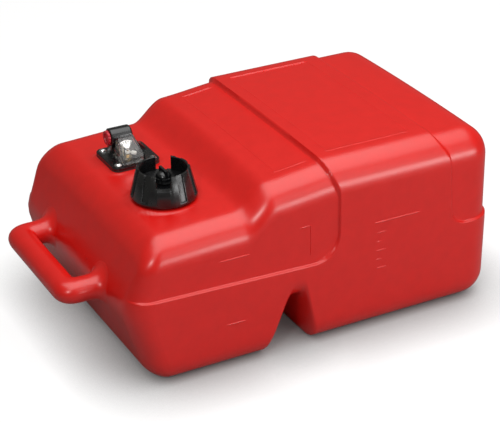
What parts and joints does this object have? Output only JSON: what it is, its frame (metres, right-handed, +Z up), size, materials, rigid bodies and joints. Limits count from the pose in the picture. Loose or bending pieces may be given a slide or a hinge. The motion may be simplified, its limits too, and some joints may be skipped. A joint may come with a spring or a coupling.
{
  "type": "outboard fuel tank",
  "caption": "Portable outboard motor fuel tank with a moulded handle, a strap channel, a vented screw cap and a fuel fitting with a float gauge and pickup tube.",
  "frame": {"origin": "on the floor, under the middle of the length and the width", "axes": "+Z up, +X from the handle to the tall rear end, +Y towards the side of the fuel fitting"},
  "size_m": [0.548, 0.338, 0.233],
  "materials": {
    "tank_plastic": "satin gloss moulded polyethylene, bright red",
    "black_plastic": "satin black moulding",
    "window": "clear, slightly smoky moulding",
    "brass": "turned, bright",
    "screw_steel": "bright stainless",
    "dial_metal": "bright sheet",
    "rod_steel": "drawn rod",
    "seal_rubber": "dull black",
    "plug_plastic": "bright red",
    "float_plastic": "dark closed-cell",
    "white_plastic": "plain white"
  },
  "bodies": {
    "tank": {"tank_body": "tank_plastic", "filler_neck": "tank_plastic", "tank_inserts": "brass", "fitting_body": "black_plastic", "fitting_gasket": "seal_rubber", "fitting_screws": "screw_steel", "port_insert": "brass", "gauge_lens": "window", "gauge_dial": "dial_metal", "spindle_bush": "brass", "guide_rod": "rod_steel", "gauge_bridge": "black_plastic", "pickup_tube": "black_plastic", "pickup_strainer": "white_plastic"},
    "cap_carrier": {"cap_seal": "seal_rubber"},
    "cap": {"cap_shell": "black_plastic"},
    "vent_carrier": {"vent_seal": "seal_rubber"},
    "vent": {"vent_knob": "black_plastic"},
    "float": {"gauge_float": "float_plastic", "float_bush": "brass"},
    "spindle": {"gauge_spindle": "brass", "gauge_flag": "white_plastic"},
    "plug": {"port_plug": "plug_plastic", "plug_seal": "seal_rubber"}
  },
  "joints": [
    {"name": "cap_lift", "type": "slide", "parent": "tank", "child": "cap_carrier", "axis": [0, 0, 1], "range_m": [0, 0.0075]},
    {"name": "cap_turn", "type": "hinge", "parent": "cap_carrier", "child": "cap", "pos_m": [-0.126, -0.062, 0.19], "axis": [0, 0, 1], "range_deg": [0, 540]},
    {"name": "vent_lift", "type": "slide", "parent": "cap", "child": "vent_carrier", "axis": [0, 0, 1], "range_m": [0, 0.00187]},
    {"name": "vent_turn", "type": "hinge", "parent": "vent_carrier", "child": "vent", "pos_m": [-0.126, -0.062, 0.207], "axis": [0, 0, 1], "range_deg": [0, 540]},
    {"name": "float_rise", "type": "slide", "parent": "tank", "child": "float", "axis": [0, 0, 1], "range_m": [0, 0.112]},
    {"name": "spindle_turn", "type": "hinge", "parent": "tank", "child": "spindle", "pos_m": [-0.1255, 0.041, 0.1], "axis": [0, 0, -1], "range_deg": [0, 110]},
    {"name": "plug_pull", "type": "slide", "parent": "tank", "child": "plug", "axis": [-1, 0, 0], "range_m": [0, 0.03]}
  ],
  "couplings": [
    {"joint": "cap_lift", "follows": "cap_turn", "m_per_rad": 0.00079577},
    {"joint": "vent_lift", "follows": "vent_turn", "m_per_rad": 0.00019894},
    {"joint": "spindle_turn", "follows": "float_rise", "rad_per_m": 17.142}
  ]
}
